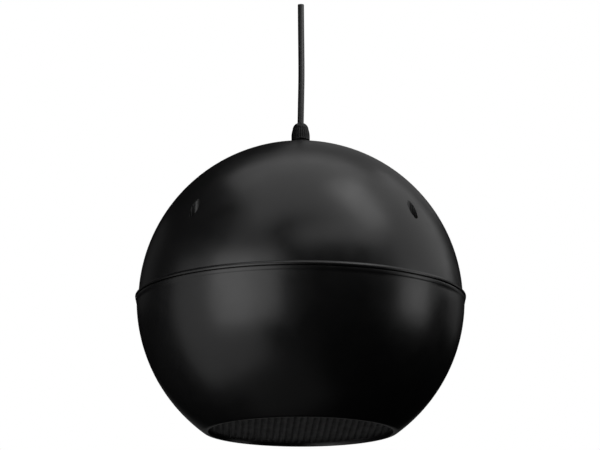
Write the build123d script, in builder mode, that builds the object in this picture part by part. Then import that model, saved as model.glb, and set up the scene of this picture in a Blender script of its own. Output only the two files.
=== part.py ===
from build123d import *

import os
from math import acos, asin, cos, degrees, radians, sin, sqrt

# A ball loudspeaker that hangs on its own cable: a round shell in two halves, a cable gland at its
# pole, a perforated sheet in the opening below, and one cone driver with a line transformer inside.
# Millimetres, +Z up. The origin is the middle of the cable's upper end, which is what holds it up.
# The front of the loudspeaker faces -Y, and an azimuth of 0 points there and grows towards +X.

# Cable and gland
cable_length = 109.0
cable_radius = 2.75
thread_radius = 6.0
gland_hole_clearance = 0.3
cable_clearance = 0.35
thread_run = 3.0
flange_height = 6.4
flange_chamfer = 1.0
nut_wall = 2.0
nut_lip_step = 0.4
nut_shoulder_step = 1.05
nut_crown_step = 1.8
nut_mouth_wall = 1.1
nut_foot_height = 0.8
nut_waist_height = 3.0
nut_flank_height = 5.6
nut_flank_dip = 0.35
nut_shoulder_height = 7.9
nut_crown_height = 10.6
nut_crown_rise = 2.2
nut_gap = 0.5
flute_count = 24
flute_depth = 0.4
flute_angle = 6.0
flute_start_height = 1.7
seal_squeeze = 0.2
seal_wall = 2.4
cap_reach = 5.0
nut_mouth_height = 2.0
nut_cone_height = 2.5
lock_nut_across_flats = 18.0
lock_nut_height = 4.5
thread_clearance = 0.1

# Shell
lower_radius = 140.0
dome_step = 1.2
upper_drop = 2.5
lower_drop = 0.8
wall = 3.0
opening_inset = 2.6
rim_land = 3.3
rim_round = 4.0
lip_height = 2.9
bead_height = 2.8
bead_reach = 1.6
bead_top_reach = 0.4
spigot_depth = 6.0
spigot_wall = 2.4
spigot_gap = 0.3
spot_depth = 0.36
pad_radius = 20.0
pad_drop = 7.0
gasket_rebate = 1.4
gasket_height = 1.6
gasket_squeeze = 0.1

# Screw wells in the dome and the bosses under them
well_inset = 16.1
well_spread = 46.8
well_radius = 4.25
well_wall = 2.0
well_floor = 3.0
boss_depth = 26.0
rib_thickness = 3.0
rib_gap = 0.6
rib_rise = 30.0
shell_screw_radius = 2.0
shell_screw_length = 20.0
shell_head_gap = 0.65
shell_head_height = 2.4
screw_clearance = 0.3
thread_play = 0.05

# Perforated sheet
grille_thickness = 1.0
grille_gap = 0.27
hole_pitch = 6.24
hole_side = 3.9
hole_margin = 1.0

# Baffle
baffle_thickness = 4.0
baffle_gap = 1.2
baffle_lap = 11.0
skirt_depth = 10.6
skirt_seat = 1.6
skirt_wall = 2.8
baffle_screw_edge = 5.0
baffle_screw_count = 6
baffle_screw_radius = 1.5
baffle_screw_length = 9.0
baffle_head_radius = 2.85
baffle_head_height = 1.8
baffle_boss_radius = 3.6
baffle_boss_depth = 14.0
pilot_depth = 6.2

# Driver, measured back from the front of its flange
driver_gasket_thickness = 1.0
driver_radius = 81.0
flange_width = 14.5
sheet_thickness = 1.5
basket_foot_inset = 10.8
basket_shoulder_radius = 55.5
shelf_width = 10.5
basket_taper = 2.4
basket_bore_margin = 1.8
shelf_depth = 27.0
basket_depth = 39.5
window_count = 6
window_width = 42.0
window_margin = 3.0
driver_screw_inset = 5.8
driver_screw_count = 8
driver_screw_radius = 1.6
driver_screw_length = 8.0
driver_head_radius = 2.7
driver_head_height = 1.8
surround_width = 7.1
cone_land = 3.0
cone_thickness = 0.8
neck_depth = 22.0
neck_height = 3.5
dust_cap_radius = 20.0
dust_cap_height = 8.0
dust_cap_thickness = 0.5
glue_gap = 0.2
surround_thickness = 0.6
surround_roll = 4.0
surround_land = 3.4
coil_radius = 12.85
former_thickness = 0.25
winding_thickness = 0.6
winding_height = 11.0
former_back = 46.0
pole_gap = 0.45
vent_radius = 4.0
top_plate_radius = 38.0
top_plate_thickness = 5.0
winding_gap = 0.5
magnet_radius = 45.0
magnet_inner_radius = 22.0
magnet_height = 14.0
back_plate_radius = 42.0
back_plate_thickness = 5.0
back_plate_chamfer = 1.0
spider_inset = 2.5
spider_land = 8.0
spider_collar = 2.0
spider_thickness = 0.5
spider_waves = 5
spider_wave_height = 0.9

# Terminal strip on the driver and its leads
strip_width = 18.0
strip_thickness = 5.0
strip_height = 11.0
strip_inset = 4.5
corner_round = 1.0
lead_radius = 0.6
lead_spacing = 10.0
lead_end_radius = 26.0
lead_drop = 3.0
lead_run = 14.0
lead_bend = 40.0

# Hanger, transformer and wiring under the pole
hanger_thickness = 2.0
core_height = 40.0
core_width = 48.0
core_stack = 24.0
core_limb = 8.0
core_wire_drop = 6.2
winding_bulge = 7.0
winding_slack = 0.5
core_screw_radius = 1.75
core_screw_inset = 4.0
core_nut_height = 3.0
core_nut_across_flats = 6.0
collar_radius = 8.0
collar_height = 7.0
collar_gap = 0.3
tail_end_gap = 6.0
block_length = 20.0
block_width = 14.0
block_height = 11.0
core_wire_radius = 0.9
core_wire_spacing = 2.4
core_wire_straight = 4.0
core_wire_bend = 2.5
wire_radius = 1.1
wire_spacing = 6.0
wire_run = 14.0
wire_drop = 45.0
wire_bend = 10.0
wadding_thickness = 16.0
wadding_gap = 0.5
wadding_top_drop = 32.3
wadding_bottom_drop = 60.3


def reach(radius, height):
    """How far from the axis a ball's face is, at this height above or below the ball's centre."""
    return sqrt(radius**2 - height**2)


def angle_at_height(radius, height):
    """The angle above the ball's middle, in degrees, of the point of its face at this height."""
    return degrees(asin(height / radius))


def around(radius, azimuth):
    """The point at this distance from the axis and this azimuth from the front."""
    return (radius * sin(radians(azimuth)), -radius * cos(radians(azimuth)))


# Radii that follow from the sizes above
upper_radius = lower_radius - dome_step
upper_lining = upper_radius - wall
lower_lining = lower_radius - wall
spigot_radius = reach(lower_lining, lower_drop) - spigot_gap
well_circle = lower_radius - well_inset
boss_radius = well_radius + well_wall
shell_head_radius = well_radius - shell_head_gap
opening_radius = driver_radius - opening_inset
rim_radius = opening_radius + rim_land
skirt_radius = opening_radius + skirt_seat
baffle_opening_radius = driver_radius - baffle_lap
flange_inner_radius = driver_radius - flange_width
cone_radius = flange_inner_radius - surround_width
basket_foot_radius = driver_radius - basket_foot_inset
basket_neck_radius = basket_shoulder_radius - shelf_width
basket_back_radius = basket_neck_radius - basket_taper
spider_radius = basket_shoulder_radius - spider_inset
driver_screw_circle = driver_radius - driver_screw_inset
strip_radius = driver_radius - strip_inset
former_radius = coil_radius + former_thickness
pole_radius = coil_radius - pole_gap
gap_outer_radius = former_radius + winding_thickness + winding_gap
basket_bore_radius = gap_outer_radius + basket_bore_margin
gland_hole_radius = thread_radius + gland_hole_clearance
gland_bore_radius = cable_radius + cable_clearance
nut_waist_radius = thread_radius + nut_wall
nut_lip_radius = nut_waist_radius - nut_lip_step
nut_shoulder_radius = nut_waist_radius - nut_shoulder_step
nut_crown_radius = nut_waist_radius - nut_crown_step
nut_mouth_radius = gland_bore_radius + nut_mouth_wall
flange_across_flats = 2 * nut_waist_radius

# Heights that follow from them
gland_height = flange_height + nut_gap + nut_crown_height + nut_crown_rise
gland_top_z = -cable_length
pole_z = gland_top_z - gland_height
upper_centre_z = pole_z - upper_radius
seam_z = upper_centre_z + upper_drop
lower_centre_z = seam_z - lower_drop
rim_z = lower_centre_z - reach(lower_radius, rim_radius)
lip_z = rim_z + lip_height
spot_z = pole_z - spot_depth
pad_z = pole_z - pad_drop
flange_top_z = pole_z + flange_height
nut_foot_z = flange_top_z + nut_gap
grille_top_z = lip_z + grille_thickness
baffle_z = grille_top_z + skirt_depth
baffle_top_z = baffle_z + baffle_thickness
driver_z = baffle_top_z + driver_gasket_thickness
hanger_z = pad_z - hanger_thickness
lock_nut_z = hanger_z - lock_nut_height
thread_end_z = lock_nut_z - thread_run
collar_z = thread_end_z - collar_gap - collar_height
tail_end_z = collar_z - tail_end_gap
core_top_z = tail_end_z - core_wire_drop - block_height

well_azimuths = [well_spread, 180 - well_spread, 180 + well_spread, -well_spread]
well_places = [around(well_circle, azimuth) for azimuth in well_azimuths]

# Upper shell: the dome, with its four screw wells and the thick pad that the gland goes through
with BuildPart() as dome_space:
    with BuildSketch(Plane.XZ):
        with BuildLine():
            spigot_angle = degrees(acos((spigot_radius - spigot_wall) / upper_lining))
            pad_angle = degrees(acos(pad_radius / upper_lining))
            lining = CenterArc((0, upper_centre_z), upper_lining, spigot_angle, pad_angle - spigot_angle)
            Polyline(
                lining @ 1,
                (pad_radius, pad_z),
                (0, pad_z),
                (0, seam_z - spigot_depth),
                (spigot_radius - spigot_wall, seam_z - spigot_depth),
                lining @ 0,
            )
        make_face()
    revolve(axis=Axis.Z)
    with BuildSketch(Plane.XY.offset(seam_z)):
        with Locations(*well_places):
            Circle(boss_radius)
    extrude(amount=upper_radius, mode=Mode.SUBTRACT)
    with BuildSketch(Plane.XY.offset(seam_z)):
        for azimuth, place in zip(well_azimuths, well_places):
            with Locations(Location((*place, 0), (0, 0, azimuth - 90))):
                Rectangle(upper_radius - well_circle, rib_thickness, align=(Align.MIN, Align.CENTER))
    extrude(amount=rib_rise, mode=Mode.SUBTRACT)

with BuildPart() as upper_shell:
    with BuildSketch(Plane.XZ):
        with BuildLine():
            seam_angle = angle_at_height(upper_radius, upper_drop)
            spot_angle = angle_at_height(upper_radius, spot_z - upper_centre_z)
            skin = CenterArc((0, upper_centre_z), upper_radius, seam_angle, spot_angle - seam_angle)
            Polyline(
                skin @ 1,
                (0, spot_z),
                (0, seam_z - spigot_depth),
                (spigot_radius, seam_z - spigot_depth),
                (spigot_radius, seam_z),
                skin @ 0,
            )
        make_face()
    revolve(axis=Axis.Z)
    add(dome_space.part, mode=Mode.SUBTRACT)
    with BuildSketch(Plane.XY.offset(pad_z)):
        Circle(gland_hole_radius)
    extrude(amount=pad_drop, mode=Mode.SUBTRACT)
    with BuildSketch(Plane.XY.offset(seam_z + well_floor)):
        with Locations(*well_places):
            Circle(well_radius)
    extrude(amount=upper_radius, mode=Mode.SUBTRACT)
    with BuildSketch(Plane.XY.offset(seam_z)):
        with Locations(*well_places):
            Circle(shell_screw_radius + screw_clearance)
    extrude(amount=well_floor, mode=Mode.SUBTRACT)

# Lower shell: the round skin with its seam bead, the rim with its lip, and the bosses inside
baffle_radius = reach(lower_lining, baffle_z - lower_centre_z) - baffle_gap
baffle_boss_places = [
    around(baffle_radius - baffle_screw_edge, step * 360 / baffle_screw_count)
    for step in range(baffle_screw_count)
]
with BuildPart() as lower_space:
    with BuildSketch(Plane.XZ):
        with BuildLine():
            rebate_z = seam_z - gasket_height
            rebate_angle = angle_at_height(lower_lining, rebate_z - lower_centre_z)
            lip_angle = angle_at_height(lower_lining, lip_z - lower_centre_z)
            lining = CenterArc((0, lower_centre_z), lower_lining, rebate_angle, lip_angle - rebate_angle)
            Polyline(
                lining @ 1,
                (opening_radius, lip_z),
                (opening_radius, rim_z),
                (0, rim_z),
                (0, seam_z),
                (lower_lining + gasket_rebate, seam_z),
                (lower_lining + gasket_rebate, rebate_z),
                lining @ 0,
            )
        make_face()
    revolve(axis=Axis.Z)
    with BuildSketch(Plane.XY.offset(seam_z)):
        with Locations(*well_places):
            Circle(boss_radius)
    extrude(amount=-boss_depth, mode=Mode.SUBTRACT)
    with BuildSketch(Plane.XY.offset(seam_z - spigot_depth - rib_gap)):
        for azimuth, place in zip(well_azimuths, well_places):
            with Locations(Location((*place, 0), (0, 0, azimuth - 90))):
                Rectangle(lower_radius - well_circle, rib_thickness, align=(Align.MIN, Align.CENTER))
    extrude(amount=spigot_depth + rib_gap - boss_depth, mode=Mode.SUBTRACT)
    with BuildSketch(Plane.XY.offset(baffle_z)):
        with Locations(*baffle_boss_places):
            Circle(baffle_boss_radius)
    extrude(amount=-baffle_boss_depth, mode=Mode.SUBTRACT)

with BuildPart() as lower_shell:
    with BuildSketch(Plane.XZ) as lower_section:
        with BuildLine():
            rim_angle = angle_at_height(lower_radius, rim_z - lower_centre_z)
            bead_angle = angle_at_height(lower_radius, lower_drop - bead_height)
            skin = CenterArc((0, lower_centre_z), lower_radius, rim_angle, bead_angle - rim_angle)
            bead = ThreePointArc(
                skin @ 1,
                (lower_radius + bead_reach, seam_z - bead_height / 2),
                (reach(upper_radius, upper_drop) + bead_top_reach, seam_z),
            )
            Polyline(bead @ 1, (0, seam_z), (0, rim_z), skin @ 0)
        make_face()
        rim_corner = lower_section.vertices().group_by(Axis.Y)[0].sort_by(Axis.X)[-1]
        fillet(rim_corner, radius=rim_round)
    revolve(axis=Axis.Z)
    add(lower_space.part, mode=Mode.SUBTRACT)
    with BuildSketch(Plane.XY.offset(seam_z)):
        with Locations(*well_places):
            Circle(shell_screw_radius + thread_play)
    extrude(amount=-boss_depth + well_floor, mode=Mode.SUBTRACT)
    with BuildSketch(Plane.XY.offset(baffle_z)):
        with Locations(*baffle_boss_places):
            Circle(baffle_screw_radius + thread_play)
    extrude(amount=-pilot_depth, mode=Mode.SUBTRACT)

# Seam gasket: a flat ring in the rebate, pressed by the dome's edge
with BuildPart() as seam_gasket:
    with BuildSketch(Plane.XY.offset(seam_z - gasket_height)):
        Circle(lower_lining + gasket_rebate - gasket_squeeze)
        Circle(lower_lining + gasket_squeeze, mode=Mode.SUBTRACT)
    extrude(amount=gasket_height)

# Shell screws: one down each well into the boss below it
with BuildPart() as shell_screws:
    with BuildSketch(Plane.XY.offset(seam_z + well_floor)):
        with Locations(*well_places):
            Circle(shell_head_radius)
    extrude(amount=shell_head_height)
    with BuildSketch(Plane.XY.offset(seam_z + well_floor)):
        with Locations(*well_places):
            Circle(shell_screw_radius)
    extrude(amount=-shell_screw_length)

# Grille: a flat sheet on the rim's lip, with staggered holes whose columns run from front to back
column_pitch = hole_pitch * sqrt(3) / 2
grille_radius = reach(lower_lining, lip_z - lower_centre_z) - grille_gap
hole_reach = grille_radius - hole_margin - hole_side / sqrt(2)
column_count = int(hole_reach / column_pitch)
row_count = int(hole_reach / hole_pitch) + 1
hole_places = []
for column in range(-column_count, column_count + 1):
    stagger = hole_pitch / 2 * (column % 2)
    for row in range(-row_count, row_count + 1):
        x = column * column_pitch
        y = row * hole_pitch + stagger
        if sqrt(x**2 + y**2) <= hole_reach:
            hole_places.append((x, y))
print("grille holes", len(hole_places))

with BuildPart() as grille:
    with BuildSketch(Plane.XY.offset(lip_z)):
        Circle(grille_radius)
        with Locations(*hole_places):
            Rectangle(hole_side, hole_side, mode=Mode.SUBTRACT)
    extrude(amount=grille_thickness)

# Baffle: the ring that carries the driver, with a skirt that holds the grille down on its lip
with BuildPart() as baffle:
    with BuildSketch(Plane.XY.offset(baffle_z)):
        Circle(baffle_radius)
        Circle(baffle_opening_radius, mode=Mode.SUBTRACT)
    extrude(amount=baffle_thickness)
    with BuildSketch(Plane.XY.offset(grille_top_z)):
        Circle(skirt_radius)
        Circle(skirt_radius - skirt_wall, mode=Mode.SUBTRACT)
    extrude(amount=baffle_z - grille_top_z)
    with BuildSketch(Plane.XY.offset(baffle_z)):
        with Locations(*baffle_boss_places):
            Circle(baffle_screw_radius + screw_clearance)
    extrude(amount=baffle_thickness, mode=Mode.SUBTRACT)
    with BuildSketch(Plane.XY.offset(baffle_z)):
        with PolarLocations(driver_screw_circle, driver_screw_count, start_angle=180 / driver_screw_count):
            Circle(driver_screw_radius + thread_play)
    extrude(amount=baffle_thickness, mode=Mode.SUBTRACT)

with BuildPart() as baffle_screws:
    with BuildSketch(Plane.XY.offset(baffle_top_z)):
        with Locations(*baffle_boss_places):
            Circle(baffle_head_radius)
    extrude(amount=baffle_head_height)
    with BuildSketch(Plane.XY.offset(baffle_top_z)):
        with Locations(*baffle_boss_places):
            Circle(baffle_screw_radius)
    extrude(amount=-baffle_screw_length)

# Driver gasket between the baffle and the driver's flange
with BuildPart() as driver_gasket:
    with BuildSketch(Plane.XY.offset(baffle_top_z)):
        Circle(driver_radius)
        Circle(baffle_opening_radius + gasket_squeeze, mode=Mode.SUBTRACT)
        with PolarLocations(driver_screw_circle, driver_screw_count, start_angle=180 / driver_screw_count):
            Circle(driver_screw_radius + screw_clearance, mode=Mode.SUBTRACT)
    extrude(amount=driver_gasket_thickness)

# Basket: a pressed frame with a flat flange, six windows and a stepped back
with BuildPart() as basket:
    with BuildSketch(Plane.XZ):
        with BuildLine():
            Polyline(
                (flange_inner_radius, driver_z),
                (driver_radius, driver_z),
                (driver_radius, driver_z + sheet_thickness),
                (basket_foot_radius, driver_z + sheet_thickness),
                (basket_shoulder_radius, driver_z + shelf_depth + sheet_thickness),
                (basket_neck_radius + sheet_thickness, driver_z + shelf_depth + sheet_thickness),
                (basket_back_radius + sheet_thickness, driver_z + basket_depth),
                (basket_bore_radius, driver_z + basket_depth),
                (basket_bore_radius, driver_z + basket_depth - sheet_thickness),
                (basket_back_radius, driver_z + basket_depth - sheet_thickness),
                (basket_neck_radius, driver_z + shelf_depth),
                (basket_shoulder_radius - sheet_thickness, driver_z + shelf_depth),
                (basket_foot_radius - sheet_thickness, driver_z + sheet_thickness),
                (flange_inner_radius, driver_z + sheet_thickness),
                close=True,
            )
        make_face()
    revolve(axis=Axis.Z)
    with BuildSketch(Plane.XY.offset(driver_z + sheet_thickness + window_margin)):
        with PolarLocations(basket_shoulder_radius, window_count, start_angle=90):
            RectangleRounded(basket_shoulder_radius, window_width, window_margin)
    extrude(amount=shelf_depth - sheet_thickness - 2 * window_margin, mode=Mode.SUBTRACT)
    with BuildSketch(Plane.XY.offset(driver_z)):
        with PolarLocations(driver_screw_circle, driver_screw_count, start_angle=180 / driver_screw_count):
            Circle(driver_screw_radius + screw_clearance)
    extrude(amount=sheet_thickness, mode=Mode.SUBTRACT)

with BuildPart() as driver_screws:
    with BuildSketch(Plane.XY.offset(driver_z + sheet_thickness)):
        with PolarLocations(driver_screw_circle, driver_screw_count, start_angle=180 / driver_screw_count):
            Circle(driver_head_radius)
    extrude(amount=driver_head_height)
    with BuildSketch(Plane.XY.offset(driver_z + sheet_thickness)):
        with PolarLocations(driver_screw_circle, driver_screw_count, start_angle=180 / driver_screw_count):
            Circle(driver_screw_radius)
    extrude(amount=-driver_screw_length)

# Cone: a straight paper cone with a flat land at its edge and a short neck on the coil former
cone_neck_radius = former_radius + thread_play
cone_foot_radius = cone_radius - cone_land
with BuildPart() as cone:
    with BuildSketch(Plane.XZ):
        with BuildLine():
            Polyline(
                (cone_neck_radius, driver_z + neck_depth),
                (cone_foot_radius, driver_z),
                (cone_radius, driver_z),
                (cone_radius, driver_z + cone_thickness),
                (cone_foot_radius + cone_thickness / 2, driver_z + cone_thickness),
                (cone_neck_radius + cone_thickness, driver_z + neck_depth + cone_thickness),
                (cone_neck_radius + cone_thickness, driver_z + neck_depth + neck_height),
                (cone_neck_radius, driver_z + neck_depth + neck_height),
                close=True,
            )
        make_face()
    revolve(axis=Axis.Z)

# Dust cap: a thin dome glued on the front of the cone
cone_slope = neck_depth / (cone_foot_radius - cone_neck_radius)
cap_foot_z = driver_z + cone_slope * (cone_foot_radius - dust_cap_radius) - glue_gap / 2
cap_sphere_radius = (dust_cap_radius**2 + dust_cap_height**2) / (2 * dust_cap_height)
cap_centre_z = cap_foot_z - dust_cap_height + cap_sphere_radius
cap_angle = degrees(asin((cap_foot_z - cap_centre_z) / cap_sphere_radius))
cap_inner_radius = cap_sphere_radius - dust_cap_thickness
cap_inner_angle = degrees(asin((cap_foot_z - cap_centre_z) / cap_inner_radius))
with BuildPart() as dust_cap:
    with BuildSketch(Plane.XZ):
        with BuildLine():
            outside = CenterArc((0, cap_centre_z), cap_sphere_radius, -90, cap_angle + 90)
            inside = CenterArc((0, cap_centre_z), cap_inner_radius, -90, cap_inner_angle + 90)
            Line(outside @ 0, inside @ 0)
            Line(outside @ 1, inside @ 1)
        make_face()
    revolve(axis=Axis.Z)

# Voice coil: the former with its winding across the magnet's gap
winding_middle = basket_depth + top_plate_thickness / 2
with BuildPart() as voice_coil:
    with BuildSketch(Plane.XY.offset(driver_z + neck_depth - glue_gap)):
        Circle(former_radius)
        Circle(coil_radius, mode=Mode.SUBTRACT)
    extrude(amount=former_back - neck_depth + glue_gap)
    with BuildSketch(Plane.XY.offset(driver_z + winding_middle - winding_height / 2)):
        Circle(former_radius + winding_thickness)
        Circle(coil_radius, mode=Mode.SUBTRACT)
    extrude(amount=winding_height)

# Surround: a half roll between the cone's land and the flange, bulging to the front
roll_inner = cone_radius + glue_gap
roll_outer = flange_inner_radius - glue_gap
roll_middle = (roll_inner + roll_outer) / 2
surround_z = driver_z - glue_gap
with BuildPart() as surround:
    with BuildSketch(Plane.XZ):
        with BuildLine():
            upper_roll = ThreePointArc(
                (roll_inner + surround_thickness, surround_z),
                (roll_middle, surround_z - surround_roll + surround_thickness),
                (roll_outer - surround_thickness, surround_z),
            )
            Polyline(
                upper_roll @ 1,
                (roll_outer + surround_land, surround_z),
                (roll_outer + surround_land, surround_z - surround_thickness),
                (roll_outer, surround_z - surround_thickness),
            )
            lower_roll = ThreePointArc(
                (roll_outer, surround_z - surround_thickness),
                (roll_middle, surround_z - surround_roll - surround_thickness),
                (roll_inner, surround_z - surround_thickness),
            )
            Polyline(
                lower_roll @ 1,
                (cone_foot_radius, surround_z - surround_thickness),
                (cone_foot_radius, surround_z),
                upper_roll @ 0,
            )
        make_face()
    revolve(axis=Axis.Z)

# Spider: the corrugated disc that keeps the coil in the middle of the gap
spider_z = driver_z + shelf_depth - glue_gap - spider_thickness
wave_start = former_radius + spider_collar
wave_pitch = (spider_radius - spider_land - wave_start) / (2 * spider_waves)
wave_points = [(wave_start, spider_z)]
for step in range(1, 2 * spider_waves):
    side = 1 if step % 2 else -1
    wave_points.append((wave_start + step * wave_pitch, spider_z + side * spider_wave_height))
wave_points.append((spider_radius - spider_land, spider_z))
with BuildPart() as spider:
    with BuildSketch(Plane.XZ):
        with BuildLine():
            upper_points = [(x, z + spider_thickness) for x, z in reversed(wave_points)]
            Polyline(
                (former_radius + glue_gap, spider_z),
                *wave_points,
                (spider_radius, spider_z),
                (spider_radius, spider_z + spider_thickness),
                *upper_points,
                (former_radius + glue_gap, spider_z + spider_thickness),
                close=True,
            )
        make_face()
    revolve(axis=Axis.Z)

# Magnet system: top plate, ring magnet, and back plate with its pole
top_plate_z = driver_z + basket_depth
magnet_z = top_plate_z + top_plate_thickness
back_plate_z = magnet_z + magnet_height
magnet_back_z = back_plate_z + back_plate_thickness
with BuildPart() as top_plate:
    with BuildSketch(Plane.XY.offset(top_plate_z)):
        Circle(top_plate_radius)
        Circle(gap_outer_radius, mode=Mode.SUBTRACT)
    extrude(amount=top_plate_thickness)

with BuildPart() as magnet:
    with BuildSketch(Plane.XY.offset(magnet_z)):
        Circle(magnet_radius)
        Circle(magnet_inner_radius, mode=Mode.SUBTRACT)
    extrude(amount=magnet_height)

with BuildPart() as back_plate:
    with BuildSketch(Plane.XY.offset(back_plate_z)):
        Circle(back_plate_radius)
    extrude(amount=back_plate_thickness)
    with BuildSketch(Plane.XY.offset(top_plate_z)):
        Circle(pole_radius)
    extrude(amount=back_plate_z - top_plate_z)
    with BuildSketch(Plane.XY.offset(top_plate_z)):
        Circle(vent_radius)
    extrude(amount=magnet_back_z - top_plate_z, mode=Mode.SUBTRACT)
    chamfer(edges().group_by(Axis.Z)[-1].sort_by(SortBy.RADIUS)[-1], length=back_plate_chamfer)

# Terminal strip on the flange, in front of a basket window, with its two tabs
strip_z = driver_z + sheet_thickness
strip_top_z = strip_z + strip_height
with BuildPart() as terminal_strip:
    with BuildSketch(Plane.XY.offset(strip_z)):
        with Locations((0, -strip_radius)):
            Rectangle(strip_width, strip_thickness)
    extrude(amount=strip_height)
    fillet(edges().filter_by(Axis.Z), radius=corner_round)

# Flexible leads: from the strip through the window to the back of the cone
lead_start_y = -(strip_radius - strip_thickness / 2)
lead_start_z = strip_top_z - lead_drop
lead_end_z = driver_z + cone_slope * (cone_foot_radius - lead_end_radius) + 2 * cone_thickness
with BuildPart() as flexible_leads:
    for side in (-1, 1):
        x = side * lead_spacing / 2
        with BuildLine() as lead_route:
            FilletPolyline(
                (x, lead_start_y, lead_start_z),
                (x, lead_start_y + lead_run, lead_start_z),
                (x, -lead_end_radius, lead_end_z),
                radius=lead_bend,
            )
        with BuildSketch(Plane(origin=lead_route.line @ 0, z_dir=lead_route.line % 0)):
            Circle(lead_radius)
        sweep(path=lead_route.line)

# Cable gland: body with hexagon flange, fluted cap nut, rubber seal and the nut inside the dome
with BuildPart() as gland_body:
    with BuildSketch(Plane.XY.offset(spot_z)):
        RegularPolygon(flange_across_flats / 2, 6, major_radius=False)
    extrude(amount=flange_top_z - spot_z)
    with BuildSketch(Plane.XZ):
        with BuildLine():
            Polyline(
                (0, spot_z),
                (flange_across_flats / 2, spot_z),
                (flange_across_flats / sqrt(3), spot_z + flange_chamfer),
                (flange_across_flats / sqrt(3), flange_top_z - flange_chamfer),
                (flange_across_flats / 2, flange_top_z),
                (0, flange_top_z),
                close=True,
            )
        make_face()
    revolve(axis=Axis.Z, mode=Mode.INTERSECT)
    with BuildSketch(Plane.XY.offset(thread_end_z)):
        Circle(thread_radius)
    extrude(amount=flange_top_z + cap_reach - thread_end_z)
    with BuildSketch(Plane.XY.offset(thread_end_z)):
        Circle(gland_bore_radius)
    extrude(amount=flange_top_z + cap_reach - thread_end_z, mode=Mode.SUBTRACT)

nut_waist_z = nut_foot_z + nut_waist_height
nut_flank_z = nut_foot_z + nut_flank_height
nut_shoulder_z = nut_foot_z + nut_shoulder_height
nut_crown_z = nut_foot_z + nut_crown_height
with BuildPart() as flute:
    with BuildSketch(Plane.XZ):
        with BuildLine():
            bottom = ThreePointArc(
                (nut_waist_radius - flute_depth, nut_waist_z),
                (nut_waist_radius - nut_flank_dip - flute_depth, nut_flank_z),
                (nut_shoulder_radius - flute_depth, nut_shoulder_z),
            )
            Polyline(
                bottom @ 1,
                (nut_crown_radius, nut_crown_z),
                (2 * nut_waist_radius, nut_crown_z),
                (2 * nut_waist_radius, nut_foot_z + flute_start_height),
                (nut_waist_radius - flute_depth, nut_foot_z + flute_start_height),
                bottom @ 0,
            )
        make_face()
    revolve(axis=Axis.Z, revolution_arc=flute_angle)

with BuildPart() as gland_nut:
    with BuildSketch(Plane.XZ):
        with BuildLine():
            flank = ThreePointArc(
                (nut_waist_radius, nut_waist_z),
                (nut_waist_radius - nut_flank_dip, nut_flank_z),
                (nut_shoulder_radius, nut_shoulder_z),
            )
            crown = ThreePointArc(
                flank @ 1,
                (nut_crown_radius, nut_crown_z),
                (nut_mouth_radius, gland_top_z),
            )
            Polyline(
                crown @ 1,
                (gland_bore_radius, gland_top_z),
                (gland_bore_radius, gland_top_z - nut_mouth_height),
                (thread_radius + thread_clearance, gland_top_z - nut_mouth_height - nut_cone_height),
                (thread_radius + thread_clearance, nut_foot_z),
                (nut_lip_radius, nut_foot_z),
                (nut_waist_radius, nut_foot_z + nut_foot_height),
                flank @ 0,
            )
        make_face()
    revolve(axis=Axis.Z)
    with PolarLocations(0, flute_count):
        add(flute.part, mode=Mode.SUBTRACT)

seal_z = flange_top_z + cap_reach
seal_top_z = gland_top_z - nut_mouth_height - nut_cone_height
with BuildPart() as gland_seal:
    with BuildSketch(Plane.XY.offset(seal_z)):
        Circle(cable_radius + seal_wall)
        Circle(cable_radius - seal_squeeze, mode=Mode.SUBTRACT)
    extrude(amount=seal_top_z - seal_z)

with BuildPart() as lock_nut:
    with BuildSketch(Plane.XY.offset(lock_nut_z)):
        RegularPolygon(lock_nut_across_flats / 2, 6, major_radius=False)
        Circle(thread_radius + thread_clearance, mode=Mode.SUBTRACT)
    extrude(amount=lock_nut_height)

# Hanger: a steel strap held by the gland's inner nut, with two legs that clamp the transformer
core_bottom_z = core_top_z - core_height
core_middle_z = (core_top_z + core_bottom_z) / 2
leg_outer = core_stack / 2 + hanger_thickness
core_screw_run = core_width - 2 * core_screw_inset
core_screw_rise = core_height - 2 * core_screw_inset
with BuildPart() as hanger:
    with BuildSketch(Plane.XZ.offset(-core_width / 2)):
        with BuildLine():
            Polyline(
                (-leg_outer, core_bottom_z),
                (-leg_outer, pad_z),
                (leg_outer, pad_z),
                (leg_outer, core_bottom_z),
                (core_stack / 2, core_bottom_z),
                (core_stack / 2, hanger_z),
                (-core_stack / 2, hanger_z),
                (-core_stack / 2, core_bottom_z),
                close=True,
            )
        make_face()
    extrude(amount=core_width)
    with BuildSketch(Plane.XY.offset(hanger_z)):
        Circle(gland_hole_radius)
    extrude(amount=hanger_thickness, mode=Mode.SUBTRACT)
    with BuildSketch(Plane.YZ.offset(-leg_outer)):
        with Locations((0, core_middle_z)):
            Rectangle(core_width - 2 * core_limb, core_height - 2 * core_limb)
            with GridLocations(core_screw_run, core_screw_rise, 2, 2):
                Circle(core_screw_radius + screw_clearance)
    extrude(amount=2 * leg_outer, mode=Mode.SUBTRACT)

with BuildPart() as transformer_core:
    with BuildSketch(Plane.YZ.offset(-core_stack / 2)):
        with Locations((0, core_middle_z)):
            Rectangle(core_width, core_height)
            with Locations((-core_width / 4, 0), (core_width / 4, 0)):
                Rectangle(core_width / 2 - 2 * core_limb, core_height - 2 * core_limb, mode=Mode.SUBTRACT)
            with GridLocations(core_screw_run, core_screw_rise, 2, 2):
                Circle(core_screw_radius + screw_clearance, mode=Mode.SUBTRACT)
    extrude(amount=core_stack)

coil_height = core_height - 2 * core_limb - 2 * winding_slack
with BuildPart() as transformer_winding:
    with BuildSketch(Plane.XY.offset(core_middle_z - coil_height / 2)):
        RectangleRounded(
            core_stack + 2 * winding_bulge,
            core_width - 2 * core_limb - 2 * winding_slack,
            winding_bulge / 2,
        )
        Rectangle(core_stack + 2 * winding_slack, 2 * core_limb + 2 * winding_slack, mode=Mode.SUBTRACT)
    extrude(amount=coil_height)

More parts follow.
